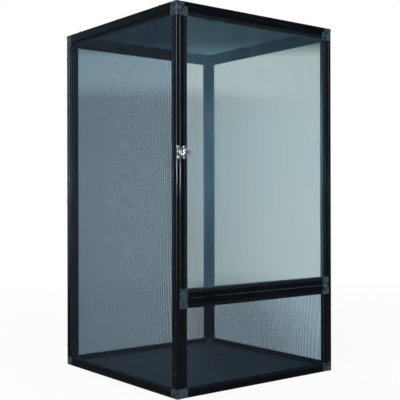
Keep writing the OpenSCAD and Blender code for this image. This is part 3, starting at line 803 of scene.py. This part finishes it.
class CAGE_OT_fasteners(Operator):
    """Give the screws, pins and washer their finishes"""
    bl_idname = "cage.fasteners"
    bl_label = "Screws, pins and washer"

    def execute(self, context):
        settings = context.scene.cage_fastener
        dress(self.blackened(settings), *SCREWS)
        dress(self.turned(settings), *PINS)
        dress(self.milky(settings), "hinge_washer")
        return {"FINISHED"}

    def blackened(self, settings):
        """Black screws, worn grey in places."""
        material, tree, shader, _ = coat("panel_screw_finish")
        rub = grain(tree, own_space(tree), scale=700.0, detail=3.0)
        stain(tree, shader, ramp(tree, rub, (0.45, 0.8), (settings.black, settings.black_worn)))
        shader.inputs["Metallic"].default_value = 0.6
        dull(tree, shader, rub, (0.3, 0.45))
        return material

    def turned(self, settings):
        """Bright steel with fine rings round each upright pin."""
        material, tree, shader, _ = coat("hinge_steel_finish")
        rings = grain(tree, own_space(tree, (0.1, 0.1, 1.0)), scale=3000.0, detail=2.0)
        stain(tree, shader, ramp(tree, rings, NOISE, (settings.steel, settings.steel_light)))
        shader.inputs["Metallic"].default_value = 1.0
        dull(tree, shader, rings, (0.25, 0.4))
        return material

    def milky(self, settings):
        """Nylon with a faint cloudiness."""
        material, tree, shader, _ = coat("nylon_finish")
        milk = grain(tree, own_space(tree), scale=800.0, detail=2.0)
        stain(tree, shader, ramp(tree, milk, NOISE, (settings.nylon, settings.nylon_light)))
        shader.inputs["Roughness"].default_value = 0.5
        return material


class CAGE_OT_stage(Operator):
    """Set the pale floor, the even room light, the lamps and the camera"""
    bl_idname = "cage.stage"
    bl_label = "Stage"

    def execute(self, context):
        settings = context.scene.cage_stage
        self.floor(settings)
        self.room(context.scene, settings)
        for lamp in LAMPS:
            self.lamp(*lamp)
        flash = self.lamp(*FLASH)
        flash.visible_diffuse = False
        self.camera(context.scene, settings)
        context.scene.view_settings.view_transform = "Standard"
        return {"FINISHED"}

    def floor(self, settings):
        """A flat round sheet.

        Ring r, spoke a lies at r (cos a, sin a). The angles are even, and r is the
        half width times the square of even steps up to 1.
        """
        spokes = settings.floor_spokes
        r = np.linspace(FLOOR_START, 1.0, settings.floor_rings) ** 2 * settings.floor_size
        a = np.linspace(0, 2 * np.pi, spokes, endpoint=False)
        points = np.stack([np.outer(r, np.cos(a)), np.outer(r, np.sin(a)),
                           np.zeros((len(r), spokes))], axis=-1).reshape(-1, 3)
        ring, spoke = np.meshgrid(np.arange(len(r) - 1), np.arange(spokes), indexing="ij")
        inner, beside = ring * spokes, (spoke + 1) % spokes
        outer = inner + spokes
        quads = np.stack([inner + spoke, outer + spoke, outer + beside, inner + beside],
                         axis=-1).reshape(-1, 4)
        sheet = surface("studio_floor", points, quads)
        sheet.data.materials.append(self.floor_finish(settings))
        return sheet

    def floor_finish(self, settings):
        """Pale paint that glows white where it is seen, a little less so beside the cage.

        The glow is grey paper behind a screen, and a gloss sees it brighten ahead.
        """
        paper, gloss = bpy.context.scene.cage_paper, bpy.context.scene.cage_gloss
        material, tree, shader, output = coat("studio_floor_finish")
        shader.inputs["Base Color"].default_value = (*settings.floor_tint, 1.0)
        shader.inputs["Roughness"].default_value = 0.9
        shader.inputs["Specular IOR Level"].default_value = 0.1
        where = own_space(tree)
        away = tree.nodes.new("ShaderNodeVectorMath")
        away.operation = "LENGTH"
        tree.links.new(where, away.inputs[0])
        distance = away.outputs["Value"]
        grey = self.floor_paper(tree, distance, self.across(tree, where, settings), paper)
        side = times(tree, spread(tree, self.ahead(tree, where, settings), gloss.floor_at,
                                  (gloss.dim, 1.0)), self.veiled(tree, gloss.veil))
        glow = tree.nodes.new("ShaderNodeEmission")
        tree.links.new(self.in_gloss(tree, self.veiled(tree, grey), side),
                       glow.inputs["Strength"])
        white = spread(tree, distance, paper.white_at, (paper.white, 1.0))
        seen = times(tree, self.seen(tree), white)
        tree.links.new(layered(tree, seen, shader.outputs[0], glow.outputs[0]),
                       output.inputs["Surface"])
        return material

    def floor_paper(self, tree, distance, across, paper):
        """Brightness of the floor's paper behind a screen.

        Near the cage it lightens to the right and has the cage's shadow on it, and
        further away it turns into an even rise from left to right.
        """
        near = spread(tree, across, paper.near_at, (paper.shade * paper.near, paper.light))
        shadow = reckon(tree, "MAXIMUM", spread(tree, across, paper.dip_at, (1.0, paper.dip)),
                        spread(tree, across, paper.dip_end))
        far = spread(tree, across, paper.far_at, (paper.shade, paper.light))
        return between(tree, spread(tree, distance, paper.far_from),
                       times(tree, near, shadow), far)

    def room(self, scene, settings):
        """An even white room: full white where it is seen, dimmer as a light.

        It is grey paper behind a screen, and has a dim side in a gloss.
        """
        world = bpy.data.worlds.new("studio_room")
        scene.world = world
        world.use_nodes = True
        tree = world.node_tree
        light = tree.nodes["Background"]
        light.inputs["Color"].default_value = (*settings.air, 1.0)
        light.inputs["Strength"].default_value = settings.sky
        white = tree.nodes.new("ShaderNodeBackground")
        tint = blend(tree, self.ray(tree, "Is Glossy Ray"), PLAIN_WHITE,
                     tuple(scene.cage_gloss.cast))
        tree.links.new(tint, white.inputs["Color"])
        way = tree.nodes.new("ShaderNodeTexCoord").outputs["Generated"]
        upward = reach(tree, way, STRAIGHT_UP)
        grey = self.backdrop(tree, self.across(tree, way, settings), upward, scene.cage_paper)
        side = self.mirrored(tree, self.ahead(tree, way, settings), upward, scene.cage_gloss)
        tree.links.new(self.in_gloss(tree, self.veiled(tree, grey), side),
                       white.inputs["Strength"])
        tree.links.new(layered(tree, self.seen(tree), light.outputs[0], white.outputs[0]),
                       tree.nodes["World Output"].inputs["Surface"])

    def backdrop(self, tree, across, upward, paper):
        """Brightness of the backdrop's paper behind a screen.

        It rises from shade to light towards the right, the band that begins at a
        level line is lighter by a fixed step, and the ceiling above it is dark.
        """
        rise = reckon(tree, "POWER", spread(tree, across, paper.rise), paper.swell)
        wall = between(tree, rise, paper.shade, paper.light)
        band = spread(tree, upward, paper.band_at, (0.0, paper.band))
        grey = reckon(tree, "MINIMUM", added(tree, wall, band), paper.light)
        return times(tree, grey, spread(tree, upward, paper.ceiling_at, (1.0, paper.ceiling)))

    def mirrored(self, tree, ahead, upward, gloss):
        """Brightness of the room in a gloss.

        It is dim behind the camera and 1 far ahead. A first grey begins before that
        rise and is weaker below the horizon, and a little light is added above it.
        """
        side = spread(tree, ahead, gloss.bright_at, (gloss.dim, 1.0))
        slant = times(tree, spread(tree, ahead, gloss.slant_at, (0.0, gloss.slant)),
                      spread(tree, upward, gloss.low_at, (gloss.low, 1.0)))
        lift = spread(tree, upward, gloss.lift_at, (0.0, gloss.lift))
        side = added(tree, reckon(tree, "MAXIMUM", side, slant), lift)
        return times(tree, side, self.veiled(tree, gloss.veil))

    def across(self, tree, vector, settings):
        """How far a vector reaches to the right of the stage's heading."""
        return reach(tree, vector,
                     (math.cos(settings.heading), -math.sin(settings.heading), 0.0))

    def ahead(self, tree, vector, settings):
        """How far a vector reaches along the stage's heading."""
        return reach(tree, vector,
                     (math.sin(settings.heading), math.cos(settings.heading), 0.0))

    def ray(self, tree, question):
        """The light path's answer to a question about the ray."""
        return tree.nodes.new("ShaderNodeLightPath").outputs[question]

    def seen(self, tree):
        """1 where a ray comes straight from the eye, from a gloss or through glass."""
        both = reckon(tree, "MAXIMUM", self.ray(tree, "Is Camera Ray"),
                      self.ray(tree, "Is Glossy Ray"))
        return reckon(tree, "MAXIMUM", both, self.ray(tree, "Is Transmission Ray"))

    def veiled(self, tree, behind):
        """A number or socket where the ray has come through a screen or the pane, and else 1.

        Such a ray has a transparent depth of 1 or more.
        """
        through = reckon(tree, "GREATER_THAN", self.ray(tree, "Transparent Depth"), 0.5)
        return between(tree, through, 1.0, behind)

    def in_gloss(self, tree, plain, side):
        """The number socket side where a gloss looks, and plain elsewhere."""
        return between(tree, self.ray(tree, "Is Glossy Ray"), plain, side)

    def lamp(self, name, place, wide, tall, power):
        """A rectangular lamp at place, turned to the cage's middle."""
        data = bpy.data.lights.new(name, "AREA")
        data.shape = "RECTANGLE"
        data.size, data.size_y = wide, tall
        data.energy = power
        lamp = bpy.data.objects.new(name, data)
        lamp.location = place
        lamp.rotation_euler = (LAMP_AIM - lamp.location).to_track_quat("-Z", "Y").to_euler()
        bpy.context.scene.collection.objects.link(lamp)
        return lamp

    def camera(self, scene, settings):
        """A camera at place that looks along its heading."""
        data = bpy.data.cameras.new("view")
        data.lens = settings.lens
        data.sensor_width = SENSOR
        data.clip_start, data.clip_end = 0.05, 60.0
        camera = bpy.data.objects.new("view", data)
        camera.location = settings.place
        camera.rotation_euler = Euler((math.pi / 2 + settings.pitch, settings.roll,
                                       -settings.heading), "XYZ")
        scene.collection.objects.link(camera)
        scene.camera = camera


class CAGE_PT_panel(Panel):
    """The steps that dress the cage"""
    bl_label = "Screen cage"
    bl_idname = "CAGE_PT_panel"
    bl_space_type = "VIEW_3D"
    bl_region_type = "UI"
    bl_category = "Cage"

    def draw(self, context):
        for step in STEPS:
            self.layout.operator(step.bl_idname)
        for group in SETTINGS:
            box = self.layout.box()
            held = getattr(context.scene, group)
            box.label(text=SETTINGS[group].__doc__)
            for name in held.__annotations__:
                box.prop(held, name)


SETTINGS = {
    "cage_cloth": ClothSettings,
    "cage_bar": BarSettings,
    "cage_key": KeySettings,
    "cage_cord": CordSettings,
    "cage_pane": PaneSettings,
    "cage_board": BoardSettings,
    "cage_catch": CatchSettings,
    "cage_fastener": FastenerSettings,
    "cage_stage": StageSettings,
    "cage_paper": PaperSettings,
    "cage_gloss": GlossSettings,
}
STEPS = (CAGE_OT_screens, CAGE_OT_bars, CAGE_OT_keys, CAGE_OT_cords, CAGE_OT_pane,
         CAGE_OT_board, CAGE_OT_catch, CAGE_OT_fasteners, CAGE_OT_stage)


def register():
    """Registers the classes and hangs each group of settings on the scene."""
    for cls in (*SETTINGS.values(), *STEPS, CAGE_PT_panel):
        bpy.utils.register_class(cls)
    for name, cls in SETTINGS.items():
        setattr(bpy.types.Scene, name, PointerProperty(type=cls))


def unregister():
    """Takes away what register adds."""
    for name in SETTINGS:
        delattr(bpy.types.Scene, name)
    for cls in reversed((*SETTINGS.values(), *STEPS, CAGE_PT_panel)):
        bpy.utils.unregister_class(cls)


def main():
    """Registers the classes and runs the steps in order."""
    register()
    bpy.ops.cage.screens()
    bpy.ops.cage.bars()
    bpy.ops.cage.keys()
    bpy.ops.cage.cords()
    bpy.ops.cage.pane()
    bpy.ops.cage.board()
    bpy.ops.cage.catch()
    bpy.ops.cage.fasteners()
    bpy.ops.cage.stage()


if __name__ == "__main__":
    main()
